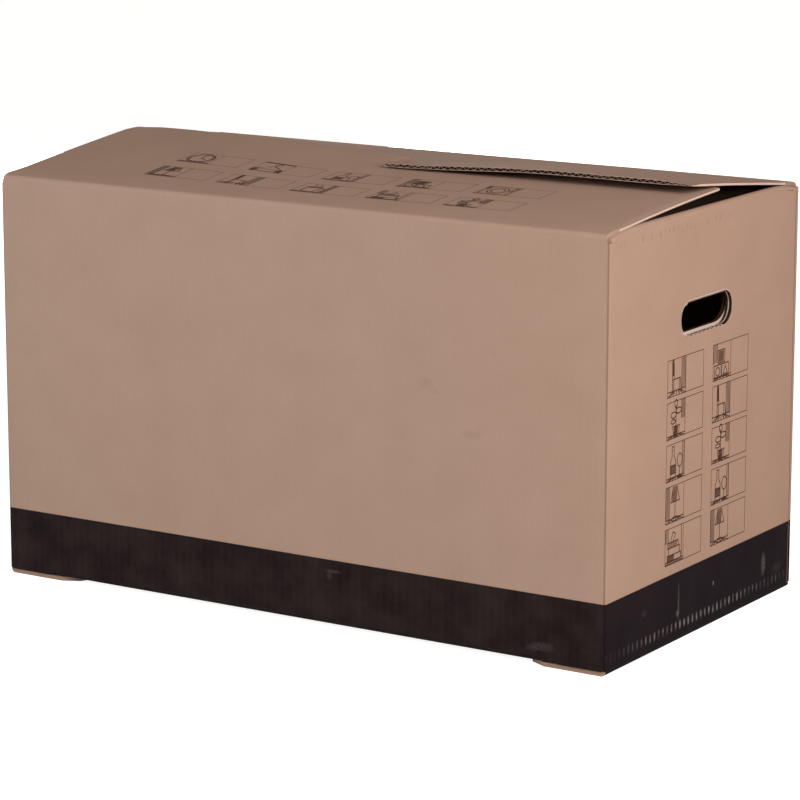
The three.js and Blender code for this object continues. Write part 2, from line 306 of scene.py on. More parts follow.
def softMarks(tree, across, up, spots, broken):
    # sum of soft spots: each fades with (across / half breadth)^2 + (up / half height)^2, broken up by noise
    total = 0.0
    for centre, level, breadth, height, strength in spots:
        side = addNode(tree, "Math", [across, 1000 / breadth, -centre / breadth], operation="MULTIPLY_ADD")
        rise = addNode(tree, "Math", [up, 1000 / height, -level / height], operation="MULTIPLY_ADD")
        reach = addNode(tree, "Math", [side, side, overlap(tree, rise, rise)], operation="MULTIPLY_ADD")
        spot = addNode(tree, "MapRange", [reach, 0.1, 1.6, strength, 0.0])
        total = addNode(tree, "Math", [total, spot], operation="ADD")
    return overlap(tree, total, addNode(tree, "MapRange", [broken, 0.35, 0.6, 0.2, 1.0]))


def makePrintedKraft():
    # outer liner of the walls: kraft with a flexo printed ink band round the foot, thin where the flutes dip
    material, tree = newMaterial("printedKraftLiner")
    place = blankNode(tree)
    bare, fibres, flutes = kraftColour(tree, place, paper["kraftLight"], paper["kraftDark"])
    height = addNode(tree, "SeparateXYZ", [place], 1)
    x, y, z = addNode(tree, "SeparateXYZ", [addNode(tree, "TexCoord", out="Object")]).node.outputs
    grain, patches, lay, slow = (
        addNode(tree, "TexNoise", {"Vector": place, "Scale": 1000 / size, "Detail": detail, "Roughness": rough})
        for size, detail, rough in band["noises"])
    onRight = addNode(tree, "MapRange", [x, (halfLength - 2) / 1000, (halfLength - 1) / 1000, 0.0, 1.0])
    onFront = addNode(tree, "MapRange", [y, (1 - halfWidth) / 1000, (2 - halfWidth) / 1000, 1.0, 0.0])
    endShadeMask = stripe(tree, x, 0, halfLength - 2, halfLength - 1, 0.0, 1.0)

    # bare liner: smudges, painted shade of the flutes pressed in under the right wall's top, and painted shade
    # along the corner creases
    smudged = overlap(tree, softMarks(tree, x, z, marks["frontSmudges"], patches), onFront, 0.5)
    # painted shade: dark flute dents under the right wall's top
    pressedFluteShade = overlap(tree, addNode(tree, "MapRange", [flutes, 0.55, 0.9, 0.0, 1.0]), onRight,
                      addNode(tree, "MapRange", [patches, 0.42, 0.55, 0.0, 0.3]),
                      stripe(tree, z, marks["pressLevel"], 2, 4.5, 1.0, 0.0),
                      stripe(tree, y, -60, 80, 120, 1.0, 0.0))
    # painted shade: a dark line down each upright corner crease
    creased = overlap(tree, stripe(tree, x, 0, halfLength - 2.4, halfLength - 1.4, 0.0, 0.6),
                      stripe(tree, y, 0, halfWidth - 1.1, halfWidth - 0.5, 0.0, 1.0))
    bare = layered(tree, bare, (smudged, hexColour(paper["smudge"])), (pressedFluteShade, hexColour(paper["pressedFluteShade"])),
                   (creased, hexColour(paper["creased"])))

    # ink between two ragged levels, worn thin in patches and on the flute tips, and darker on the end panels as
    # painted shade
    level = addNode(tree, "Math", [grain, band["ragged"] / 1000, height], operation="MULTIPLY_ADD")
    top, foot = band["top"] / 1000, band["foot"] / 1000
    inked = overlap(tree, addNode(tree, "MapRange", [level, top + 0.0001, top + 0.0006, 1.0, 0.0]),
                    addNode(tree, "MapRange", [level, foot - 0.0003, foot + 0.0003, 0.0, 1.0]))
    thin = addNode(tree, "Math", [flutes, 0.03, overlap(tree, lay, slow)], operation="MULTIPLY_ADD")
    worn = addNode(tree, "MapRange", [thin, 0.17, 0.47, 0.0, 0.5])

    # a row of rubbed flute tips along the foot of the right end, strongest in mid width, and a few rubs
    dashes = overlap(tree, addNode(tree, "MapRange", [flutes, 0.62, 0.92, 0.0, 1.0]), onRight,
                     addNode(tree, "MapRange", [patches, 0.38, 0.56, 0.2, 1.0]),
                     stripe(tree, z, marks["dashLevel"], 1.8, marks["dashHalf"], 1.0, 0.0),
                     stripe(tree, y, 5, 50, 160, 0.72, 0.1))
    rubs = overlap(tree, softMarks(tree, y, z, marks["endRubs"], grain), onRight)
    scuffs = overlap(tree, softMarks(tree, x, z, marks["frontRubs"], grain), onFront)
    rubbed = hexColour(band["rubbed"])
    # the darker ink on the end panels is painted shade
    ink = layered(tree, hexColour(band["ink"]), (worn, hexColour(band["worn"])),
                  (overlap(tree, endShadeMask, 0.75), hexColour(band["ends"])), (dashes, rubbed), (rubs, rubbed),
                  (scuffs, rubbed))

    # the ink film closes the paper's pores, so the band is smoother than the bare liner
    roughness = addNode(tree, "MapRange", [inked, 0.0, 1.0, 0.88, 0.8])
    finishPaper(tree, layered(tree, bare, (inked, ink)), kraftRelief(tree, fibres, flutes), roughness, 0.06)
    return material


def makeMottled(name, dark, light, size, coarseness, relief, depth, roughness):
    # paper whose tone and height follow one noise: torn fibre at a cut, or thin ink as it lies on kraft
    material, tree = newMaterial(name)
    mottle = addNode(tree, "TexNoise", {
        "Vector": blankNode(tree), "Scale": 1000 / size, "Detail": 3.0, "Roughness": coarseness})
    colour = layered(tree, hexColour(dark), (mottle, hexColour(light)))
    bump = addNode(tree, "Bump", {"Height": mottle, "Strength": relief, "Distance": depth / 1000})
    finishPaper(tree, colour, bump, roughness)
    return material


# size of the fibres in mm, coarseness, relief, depth in mm, roughness
torn = (1.2, 0.65, 0.4, 0.2, 0.9)
flexo = (0.8, 0.5, 0.2, 0.05, 0.75)
kraft = makeKraft("kraftLiner", paper["kraftLight"], paper["kraftDark"])
# painted shade: a darker copy of the kraft for the rear top flap, which slopes away from the front lamps
shadedRearKraft = makeKraft("shadedRearFlapKraft", "#A88E7E", "#957B6B")
insideKraft = makeKraft("insideLiner", "#A78D7C", "#947A69")
printedKraft = makePrintedKraft()
cutEdge = makeMottled("cutBoardEdge", "#A88B7B", "#CBB3A5", *torn)
paleEdge = makeMottled("crushedBoardEdge", "#BBA59A", "#DCCBC2", *torn)
# torn fibre, brightened as painted light for hole edges that get little light
tornLitEdge = makeMottled("tornBoardEdgePaintedLight", "#C9B7AB", "#F0E6DE", *torn)
# painted shade: the medium and the faces inside the flutes are drawn very dark for the shade deep in them
fluteShade = makeMottled("openFlutePaintedShade", "#321A10", "#4A2C1E", *torn)
printInk = makeMottled("flexoPrintInk", "#38241C", "#5E4336", *flexo)
print("materials ready")

# long top flaps, three plies each so that the flutes stand open on the free edge
flap = {
    "overlap": 50.0,
    "inset": 3.0,
    "slitLength": 40.0,
    "slitWidth": 3.6,
    "restSlope": 0.0785,
    "tipLift": 4.5,
    "overTipSlope": 0.02,
    "underTipSlope": -0.08,
    "over": (0.1345, 0.00008),      # slope at the hinge and bow, where the flap lies over its twin
    "under": (0.1, 0.000141),       # and where it lies under it
    "blend": 190.0,
    "mediumDepth": 45.0,
    "step": 6.0,
    # knocked places of the free edge: place along it, spread and depth in mm, and how far they reach inwards
    "knocks": ((-8, 9, 1.0), (-42, 14, 0.8), (-150, 8, 0.7), (-233, 9, 0.5), (-312, 16, 1.9), (60, 12, 0.9),
               (251, 15, 0.8)),
    "knockReach": 9.0,
    "sidePress": 1.7,               # mm that the side edges are pressed thin, and its reach
    "sideReach": 4.0,
    "fromAbove": 0.75,              # share of the press that the upper face gives way
}
flapDepth = halfWidth + flap["overlap"] / 2
flapSide, slitHalf = halfLength - flap["inset"], flap["slitWidth"] / 2
slitRoot = flapDepth - flap["slitLength"]
tipBend = 2 * (flapDepth - flap["overlap"] / 2 - slitRoot)


def flapHeight(x, d):
    # rise above the crease: straight to the slit's root, then the tip bends up on the left half and down on
    # the right half; towards the ends both blend into the slope and bow of a flap that lies over or under
    along = np.maximum(d - slitRoot, 0)
    side = np.where(x < 0, 1.0, -1.0)
    tipSlope = np.where(x < 0, flap["overTipSlope"], flap["underTipSlope"])
    root = flap["restSlope"] * np.minimum(d, slitRoot)
    tip = root + side * flap["tipLift"] * np.minimum(along / tipBend, 1)
    tip = tip + tipSlope * np.maximum(along - tipBend, 0)
    over, under = (slope * d - bow * d * d for slope, bow in (flap["over"], flap["under"]))
    far = np.where(x < 0, over, under)
    blend = smooth(np.minimum(np.abs(x) / flap["blend"], 1))
    return tip + (far - tip) * blend


def crush(x, d):
    # mm that the board is pressed thin: at a few knocked places of the free edge, and along the side edges,
    # which are cut along the flutes
    press = sum(depth * np.exp(-((x - centre) / spread) ** 2) for centre, spread, depth in flap["knocks"])
    sideways = flap["sidePress"] * np.exp(-((flapSide - np.abs(x)) / flap["sideReach"]) ** 2)
    inward = np.exp(-((flapDepth - d) / flap["knockReach"]) ** 2)
    return press * inward + sideways * np.clip((d - 8) / 25, 0, 1)


def flapSurface(x, rowAngles, rowDepths, sink):
    # grid of points sink mm below the outer face: a quarter turn of the crease, then the flap
    radius = board["fold"] - sink
    angle, xa = np.meshgrid(rowAngles, x, indexing="ij")
    fold = np.stack([xa, -halfWidth + board["fold"] + radius * np.cos(angle),
                     topLevel - board["fold"] + radius * np.sin(angle)], -1)
    d, xd = np.meshgrid(rowDepths, x, indexing="ij")
    share = sink / thick
    level = topLevel + flapHeight(xd, d) - sink - crush(xd, d) * (flap["fromAbove"] - share)
    flat = np.stack([xd, -halfWidth + d, level], -1)
    return np.concatenate([fold, flat]) if len(rowAngles) else flat


def longTopFlap():
    angles = np.linspace(math.pi, math.pi / 2, 9)
    back = np.linspace(board["fold"] + 3, slitRoot, 22)
    depths = np.concatenate([back, np.linspace(slitRoot, flapDepth, 12)[1:]])
    left = np.concatenate([-flapSide + np.array([0, 1.0, 2.2, 3.6, 5.2]),
                           np.linspace(-flapSide + 7, -slitHalf, int((flapSide - slitHalf) / flap["step"]))])
    x = np.concatenate([left, -left[::-1]])
    present = np.ones((len(angles) + len(depths) - 1, len(x) - 1), bool)
    present[len(angles) + len(back) - 1:, len(x) // 2 - 1] = False
    arcLength = board["fold"] * (math.pi - angles)
    v = carton["height"] - board["fold"] + np.concatenate([arcLength, arcLength[-1] + depths - board["fold"]])
    blank = np.stack(np.meshgrid(x, v, indexing="xy"), -1)
    # faces from the top down: both faces of the outer liner, then both of the inner one; the faces towards the
    # flutes take the painted flute shade
    liner, full = board["liner"], thick
    faces = [flapSurface(x, angles, depths, sink) for sink in (0.0, liner, full - liner, full)]
    return [boardPart(faces[0], faces[1], blank, (0, 3, 2), present),
            boardPart(faces[2], faces[3], blank, (3, 1, 2), present),
            flutedMedium(), *sideStrips(angles, depths)]


def flutedMedium():
    # sine ply between the liners, its middle at cos(2 pi x / pitch), drawn for the last stretch to the edge
    slit = slitHalf + 0.4
    left = np.arange(-(flapSide - 0.6), -slit, board["pitch"] / 10)
    x = np.concatenate([left, [-slit, slit], -left[::-1]])
    depths = np.array([flapDepth - flap["mediumDepth"], slitRoot, flapDepth - 20, flapDepth - 6,
                       flapDepth - 2.5, flapDepth - 0.15])
    present = np.ones((len(depths) - 1, len(x) - 1), bool)
    present[:, len(x) // 2 - 1] = False
    d, xd = np.meshgrid(depths, x, indexing="ij")
    squeeze = 1 - 0.75 * crush(xd, d) / thick
    centre = thick / 2 - fluteRoom / 2 * squeeze * np.cos(2 * math.pi * xd / board["pitch"])
    level = topLevel + flapHeight(xd, d) - crush(xd, d) * (flap["fromAbove"] - centre / thick)
    place = lambda sink: np.stack([xd, -halfWidth + d, level - centre - sink], -1)
    blank = np.stack([xd, d], -1)
    # the medium's faces are drawn in painted flute shade
    return boardPart(place(-board["medium"] / 2), place(board["medium"] / 2), blank, (3, 3, 2), present)


def sideStrips(angles, depths):
    # the side edges and the slit's long edges are cut along the flutes and show a crushed web
    strips = []
    creased, tips = depths[:3], depths[depths > slitRoot - 0.01]
    # the slit's edges take the darker inside liner, painted shade
    for edge, inward, rowAngles, rowDepths, skin in (
            (-flapSide, 1, angles, creased, 0), (-flapSide, 1, angles[:0], depths[2:], 4),
            (-slitHalf, -1, angles[:0], tips, 1), (slitHalf, 1, angles[:0], tips, 1),
            (flapSide, -1, angles, creased, 0), (flapSide, -1, angles[:0], depths[2:], 4)):
        x = np.array([edge + inward * 1.2, edge + inward * 0.1])
        sinks = (board["liner"] * 0.9, thick - board["liner"] * 0.9)
        outer, inner = (flapSurface(x, rowAngles, rowDepths, sink) for sink in sinks)
        strips.append(boardPart(outer, inner, outer[..., :2], (skin, skin, skin)))
    return strips


frontFlapParts = longTopFlap()
makePiece("frontTopFlap", frontFlapParts, [kraft, insideKraft, cutEdge, fluteShade, paleEdge])
# the rear top flap takes the darker kraft, painted shade
makePiece("rearTopFlap", [halfTurn(p) for p in frontFlapParts],
          [shadedRearKraft, insideKraft, cutEdge, fluteShade, paleEdge])
print("long top flaps made")

# walls: one strip of board round the four corners, its glue tab inside the rear wall
walls = {
    "tab": 38.0,
    "tabTaper": 14.0,
    "jointSetback": 0.5,
    "step": 20.0,
    "arch": 5.2,           # mm that the end walls rise at mid width
    "archPower": 9,
    "footWidth": 540.0,    # of the long bottom flaps
    "longWave": (0.5, 0.55),        # swing and mean depth of the unevenness in mm
    "endWave": (0.3, 0.5),
}


def endArch(y):
    reach = halfWidth - thick - board["gap"]
    return walls["arch"] * (1 - np.minimum(np.abs(y) / reach, 1) ** walls["archPower"])


def wallPath():
    # plan of the outer and the inner face, from the raw edge of the rear wall round to the end of the tab
    r, t, bend = board["corner"], thick, board["cornerInside"]
    tabY = halfWidth - t - board["gap"]
    corners = [(-halfLength, halfWidth, 90), (-halfLength, -halfWidth, 180), (halfLength, -halfWidth, 270),
               (halfLength, tabY, 360)]
    outer, inner, kind = [], [], []
    legs = [((halfLength - walls["jointSetback"], halfWidth), (-halfLength + r, halfWidth)),
            ((-halfLength, halfWidth - r), (-halfLength, -halfWidth + r)),
            ((-halfLength + r, -halfWidth), (halfLength - r, -halfWidth)),
            ((halfLength, -halfWidth + r), (halfLength, tabY - r)),
            ((halfLength - r, tabY), (halfLength - t - walls["tab"], tabY))]
    normals = [(0, 1), (-1, 0), (0, -1), (1, 0), (0, 1)]
    for k, (start, end) in enumerate(legs):
        start, end, normal = np.array(start), np.array(end), np.array(normals[k])
        count = max(3, int(np.linalg.norm(end - start) / walls["step"]))
        share = np.linspace(0, 1, count)[:, None]
        line = start + (end - start) * share
        insideLine = line - t * normal
        # the inner face stops short of the upright creases, so that the corner closes
        direction = (end - start) / np.linalg.norm(end - start)
        reach = (insideLine - (start + end) / 2 + t * normal) @ direction
        limit = np.linalg.norm(end - start) / 2 + r - t - bend
        low, high = (-limit if k > 0 else -math.inf), (limit if k < 4 else math.inf)
        insideLine += np.clip(reach, low, high)[:, None] * direction - reach[:, None] * direction
        outer.append(line)
        inner.append(insideLine)
        kind.append(np.full(count, k))
        if k < 4:
            cx, cy, first = corners[k]
            turn = np.radians(np.linspace(first, first + 90, 9)[1:-1])
            sx, sy = (1 if cx < 0 else -1), (1 if cy < 0 else -1)
            ring = np.stack([np.cos(turn), np.sin(turn)], -1)
            outer.append(np.array([cx + sx * r, cy + sy * r]) + r * ring)
            inner.append(np.array([cx + sx * (t + bend), cy + sy * (t + bend)]) + bend * ring)
            kind.append(np.full(len(turn), 10 + k))
    return np.concatenate(outer), np.concatenate(inner), np.concatenate(kind)


def panelWave(x, y, z, kind):
    # slow unevenness of an empty box, mm out of the wall: never past its flat face, none at the creases
    up = np.sin(math.pi * np.clip((z - lift) / carton["height"], 0, 1))
    # the rear and left walls are the front and right ones turned half round
    turned = np.where((kind == 0) | (kind == 1), -1.0, 1.0)
    x, y = x * turned, y * turned
    (longSwing, longDepth), (endSwing, endDepth) = walls["longWave"], walls["endWave"]
    longWall = np.cos(math.pi * x / carton["length"]) * (longSwing * np.sin(x / 97.0 + z / 140.0) - longDepth)
    endWall = np.cos(math.pi * y / carton["width"]) * (endSwing * np.sin(y / 61.0 - z / 120.0 + 1.0) - endDepth)
    return up * np.select([(kind == 0) | (kind == 2), (kind == 1) | (kind == 3)], [longWall, endWall], 0.0)


def makeWalls():
    outer, inner, kind = wallPath()
    length = np.concatenate([[0], np.cumsum(np.linalg.norm(np.diff(outer, axis=0), axis=1))])
    isLong = (kind == 0) | (kind == 2)
    isEnd = (kind == 1) | (kind == 3)
    # beyond the long bottom flaps the long walls end in a plain cut at the crease line
    cutFoot = isLong & (np.abs(outer[:, 0]) > walls["footWidth"] / 2 + 8)
    low = np.select([cutFoot, isLong, isEnd], [lift + 0.6, lift + board["fold"], board["fold"]],
                    board["fold"] + 1.0)
    high = np.where(isLong, topLevel - board["fold"],
                    endTurnLevel + np.where(isEnd, endArch(outer[:, 1]), 0.0))
    tabShare = np.clip((halfLength - thick - outer[:, 0]) / walls["tab"], 0, 1)
    low = np.where(kind == 4, lift + board["fold"] + 2 + walls["tabTaper"] * tabShare, low)
    high = np.where(kind == 4, endTurnLevel - 2 - walls["tabTaper"] * tabShare, high)
    share = np.linspace(0, 1, 26)[:, None]
    z = low + (high - low) * share
    push = panelWave(outer[:, 0], outer[:, 1], z, kind)
    nx = np.where(kind == 1, -1.0, np.where(kind == 3, 1.0, 0.0))
    ny = np.where(kind == 0, 1.0, np.where(kind == 2, -1.0, 0.0))
    shift = np.stack([push * nx, push * ny, np.zeros_like(z)], -1)
    outerGrid, innerGrid = (
        np.stack([np.broadcast_to(line[:, 0], z.shape), np.broadcast_to(line[:, 1], z.shape), z], -1) + shift
        for line in (outer, inner))
    blank = np.stack([np.broadcast_to(length, z.shape), z - lift], -1)
    piece = makePiece("walls", [boardPart(outerGrid, innerGrid, blank, (0, 1, 0))],
                      [printedKraft, insideKraft, cutEdge])
    # each hand hole, then a groove between the liners round it, where the cut flutes stand open, its faces in
    # painted flute shade
    for side in (-1, 1):
        cutHole(piece, side, 8.0, -8.0, nick=handHole["nick"])
        cutHole(piece, side, thick - board["liner"], board["liner"], handHole["groove"],
                edge=fluteShade)
    return piece


def holeMedium():
    # the sine ply seen edge-on in that groove, along the straight top and bottom of the hole
    y = np.arange(-holeStraight, holeStraight, board["pitch"] / 12)
    x = halfLength - thick / 2 + fluteRoom / 2 * np.cos(2 * math.pi * y / board["pitch"])
    parts = []
    for end in (-1, 1):
        z = holeLevel + end * (handHole["height"] / 2 + np.array([0.3, 0.9]))
        zz, yy = np.meshgrid(z, y, indexing="ij")
        xx = np.broadcast_to(x, zz.shape)
        shifts = (board["medium"] / 2, -board["medium"] / 2)
        outer, inner = (np.stack([xx + shift, yy, zz], -1) for shift in shifts)
        parts.append(boardPart(outer, inner, outer[..., 1:], (0, 0, 0)))
    return parts


def onRightWall(y, z, rise):
    return np.stack([halfLength + panelWave(halfLength, y, z, 3) + rise, y, z], -1)


def strokeQuads(lines, width):
    # each line is cut to steps under 4 mm and drawn as a ribbon, with square caps half a width long
    quads = []
    for line in lines:
        for a, b in zip(line[:-1], line[1:]):
            span = b - a
            size = np.linalg.norm(span)
            if size < 1e-6:
                continue
            along, side = span / size, np.array([-span[1], span[0]]) / size * width / 2
            a2, b2 = a - along * width / 2, b + along * width / 2
            steps = max(1, int(np.ceil(size / 4)))
            marks = a2 + (b2 - a2) * np.linspace(0, 1, steps + 1)[:, None]
            for p, q in zip(marks[:-1], marks[1:]):
                quads.append([p - side, q - side, q + side, p + side])
    return np.array(quads)


def strokePart(lines, width, surface):
    quads = strokeQuads(lines, width)
    flat = quads.reshape(-1, 2)
    points = surface(flat[:, 0], flat[:, 1])
    return {"points": points, "flat": flat, "faces": np.arange(len(flat)).reshape(-1, 4),
            "slots": np.zeros(len(quads), int)}


def stadium(width, height):
    # half circles of radius height/2 joined by straight runs, as (y, z) round the middle
    r = height / 2
    turn = np.linspace(-math.pi / 2, math.pi / 2, 26)
    right = np.stack([width / 2 - r + r * np.cos(turn), r * np.sin(turn)], -1)
    return np.concatenate([right, -right])


def cutHole(piece, side, deep, shallow, margin=0.0, nick=0.0, raised=0.0, edge=None):
    # round-ended cutter between two depths under the wall's face; its own faces become the hole's cut edge
    outline = stadium(handHole["width"] + 2 * margin, handHole["height"] + 2 * margin)
    outline[:, 1] *= np.where(outline[:, 1] < 0, 1 - raised / (handHole["height"] / 2 + margin), 1.0)
    if nick:
        # the burr stands at the upper front end of the hole
        burr = np.array([-handHole["width"] / 2 + 9, handHole["height"] / 2 - 3])
        near = np.exp(-(((outline - burr) / 2.2) ** 2).sum(1))
        outline = outline * (1 - nick * near[:, None])
    count = len(outline)
    reach = sorted((side * (halfLength - deep), side * (halfLength - shallow)))
    ends = [np.column_stack([np.full(count, x), outline[:, 0], outline[:, 1] + holeLevel]) for x in reach]
    points = np.concatenate(ends) / 1000
    k = np.arange(count)
    sides = np.stack([k, (k + 1) % count, (k + 1) % count + count, k + count], -1).tolist()
    mesh = bpy.data.meshes.new("holeCutter")
    mesh.from_pydata(points.tolist(), [], sides + [k[::-1].tolist(), (k + count).tolist()])
    # without an edge material the cut takes the brightened torn edge, painted light
    mesh.materials.append(edge or tornLitEdge)
    cutter = addObject("holeCutter", mesh)
    cut = piece.modifiers.new("hole", "BOOLEAN")
    cut.operation, cut.solver, cut.object = "DIFFERENCE", "EXACT", cutter
    cut.material_mode = "TRANSFER"
    graph = bpy.context.evaluated_depsgraph_get()
    made = bpy.data.meshes.new_from_object(piece.evaluated_get(graph))
    piece.modifiers.remove(cut)
    piece.data = made
    bpy.data.objects.remove(cutter)
    made.set_sharp_from_angle(angle=sharpAngle)


wallPiece = makeWalls()
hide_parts("carton")
wallMedium = holeMedium()
makePiece("holeFlutes", wallMedium + [halfTurn(p) for p in wallMedium], [paleEdge])
print("walls made")

# end top flaps, turned down inside, with their own hand hole
endFlap = {
    "depth": 203.0,
    "lean": 0.035,
    "bulge": 2.0,          # mm towards the inside at mid depth
    "holeMargin": 4.5,     # its hole is that much larger than the wall's on all sides
    "holeRaised": 5.3,     # but its foot stands higher
    "lip": 2.8,            # breadth of the torn liner round its foot
}


def endTopFlap():
    # a U turn over the wall's top, highest at mid width, then straight down with a slight lean
    turn = np.linspace(0, math.pi, 13)
    reach = halfWidth - thick - board["gap"]
    y = np.linspace(-reach, reach, 41)
    down = np.linspace(0, 1, 14)[1:]
    grids = []
    for sink in (0.0, thick):
        radius = turnRadius - sink
        inside = halfLength - 2 * turnRadius + sink
        px = np.concatenate([halfLength - turnRadius + radius * np.cos(turn),
                             inside - endFlap["lean"] * endFlap["depth"] * down])
        pz = np.concatenate([endTurnLevel + radius * np.sin(turn), endTurnLevel - endFlap["depth"] * down])
        fade = np.concatenate([np.ones(len(turn)), 1 - down])
        bulge = np.concatenate([np.zeros(len(turn)), -endFlap["bulge"] * np.sin(math.pi * down)])
        yy, xx = np.meshgrid(y, px)
        zz = pz[:, None] + fade[:, None] * endArch(y)[None, :]
        xx = xx + bulge[:, None] * np.cos(math.pi * yy / (2 * halfWidth))
        grids.append(np.stack([xx, yy, zz], -1))
    run = np.concatenate([turnRadius * turn, turnRadius * math.pi + endFlap["depth"] * down])
    blank = np.stack(np.meshgrid(y, carton["height"] + run), -1)
    return boardPart(grids[0], grids[1], blank)


endParts = endTopFlap()
for name, part, side in (("rightEndTopFlap", endParts, 1), ("leftEndTopFlap", halfTurn(endParts), -1)):
    piece = makePiece(name, [part], [kraft, insideKraft, cutEdge])
    # the flap's hole edge is drawn in painted flute shade
    cutHole(piece, side, 26.0, thick + 0.1, endFlap["holeMargin"], raised=endFlap["holeRaised"],
            edge=fluteShade)
print("end top flaps made")


def crossGrid(x, z, half, count):
    # a surface ruled across the box: its rows at x and z reach to half on either side
    across = half[:, None] * np.linspace(-1, 1, count)
    return np.stack([np.repeat(x[:, None], count, 1), across, np.repeat(z[:, None], count, 1)], -1)


# tongue punched from the wall, pushed in under the flap's hole and up behind the flap
tongue = {"length": 29.0, "width": 91.0, "taper": 14.0, "rise": 62.0}


def handHoleTongue():
    hinge = holeLevel + handHole["height"] / 2
    rise = math.radians(tongue["rise"])
    reach = halfLength - 2 * turnRadius - endFlap["lean"] * handHole["drop"] - board["gap"] - 4.0
    t = thick
    share = np.linspace(0, 1, 10)
    upper = [(halfLength - t / 2, hinge + 1.5), (halfLength - t - 2, hinge + 0.2), (reach, hinge + 0.6)]
    lower = [(halfLength - t / 2, hinge - 1.0), (halfLength - t - 2, hinge + 0.2 - t),
             (reach - 1.5, hinge + 0.6 - t)]
    tip = np.array([-math.cos(rise), math.sin(rise)]) * tongue["length"]
    normal = np.array([-math.sin(rise), -math.cos(rise)]) * t
    upper += [tuple(np.array(upper[-1]) + tip * s) for s in share[1:]]
    lower += [tuple(np.array(upper[2]) + normal + tip * s) for s in share[1:]]
    half = np.concatenate([np.full(3, tongue["width"] / 2),
                           tongue["width"] / 2 - tongue["taper"] * (1 - np.sqrt(1 - share[1:] ** 2 * 0.999))])
    outer, inner = (crossGrid(*np.transpose(line), half, 9) for line in (upper, lower))
    return boardPart(inner, outer, outer[..., 1:])


def holeRim():
    # the liner's torn edge, a pale hair line round the front, top and foot of the hole, brightened as painted
    # light
    outline = stadium(handHole["width"] + 0.3, handHole["height"] + 0.3)
    outline = np.roll(outline, -20, axis=0)[:-20] + (0, holeLevel)
    return strokePart([outline], handHole["rim"], lambda y, z: onRightWall(y, z, 0.03))


def holeLip():
    # the flap's liner tore pale round the foot of its hole, on the face towards the wall; its pale colour is
    # partly painted light
    reach = handHole["height"] / 2 + endFlap["holeMargin"] + endFlap["lip"] / 2
    drop = reach - endFlap["holeRaised"]
    turn = np.radians(np.linspace(-90, 0, 10))
    line = np.concatenate([[(-holeStraight - 6, holeLevel - drop)],
                           np.stack([holeStraight + reach * np.cos(turn), holeLevel + drop * np.sin(turn)], -1)])

    def onFlap(y, z):
        down = (endTurnLevel - z) / endFlap["depth"]
        bulge = endFlap["bulge"] * np.sin(math.pi * down) * np.cos(math.pi * y / (2 * halfWidth))
        lean = endFlap["lean"] * endFlap["depth"] * down
        return np.stack([halfLength - 2 * turnRadius + thick - lean - bulge + 0.2, y, z], -1)

    return strokePart([line], endFlap["lip"], onFlap)


makePair(("rightHoleLip", "leftHoleLip"), [holeLip()], [tornLitEdge])
makePair(("rightHoleRim", "leftHoleRim"), [holeRim()], [tornLitEdge])
makePair(("rightHoleTongue", "leftHoleTongue"), [handHoleTongue()], [kraft, insideKraft, cutEdge])
print("hand hole tongues made")

# bottom flaps: long pair inside, end pair outermost with tongues tucked up through the slots
foot = {
    "meetingGap": 2.0,
    "longTaper": 3.0,
    "shoulder": 75.0,
    "chamfer": 14.0,
    "endDepth": 178.0,
    "endInset": 1.5,
    "neckDepth": 135.0,
    "neckWidth": 100.0,
    "rampStart": 141.0,
    "rampRun": 10.0,
    "slotClearance": 3.0,
}


def longBottomFlap():
    depth = halfWidth - foot["meetingGap"] / 2
    slotOuter = halfLength - foot["rampStart"] + foot["slotClearance"]
    slotInner = halfLength - foot["rampStart"] - foot["rampRun"] - foot["slotClearance"]
    half = walls["footWidth"] / 2
    slotDepth = halfWidth - foot["neckWidth"] / 2 - foot["slotClearance"]
    x = np.concatenate([np.linspace(-half, -slotOuter, 6), np.linspace(-slotInner, slotInner, 20),
                        np.linspace(slotOuter, half, 6)])
    angles = np.linspace(math.pi, 1.5 * math.pi, 9)
    back = np.linspace(board["fold"] + 4, slotDepth, 10)
    d = np.concatenate([back, np.linspace(slotDepth, depth, 4)[1:]])
    share = np.concatenate([np.zeros(len(angles)), d / depth])
    grids = []
    for sink in (0.0, thick):
        radius = board["fold"] - sink
        py = np.concatenate([-halfWidth + board["fold"] + radius * np.cos(angles), -halfWidth + d])
        pz = np.concatenate([lift + board["fold"] + radius * np.sin(angles), np.full(len(d), lift + sink)])
        xx = np.broadcast_to(x, (len(py), len(x)))
        xx = xx - np.sign(xx) * (np.abs(xx) > half - 1) * foot["longTaper"] * share[:, None]
        grids.append(np.stack([xx, np.repeat(py[:, None], len(x), 1), np.repeat(pz[:, None], len(x), 1)], -1))
    present = np.ones((len(share) - 1, len(x) - 1), bool)
    present[len(angles) + len(back) - 1:, [5, 25]] = False
    run = np.concatenate([-board["fold"] * (angles - math.pi), -board["fold"] * math.pi / 2 - d])
    blank = np.stack(np.meshgrid(x, run + board["fold"]), -1)
    return boardPart(grids[0], grids[1], blank, present=present)


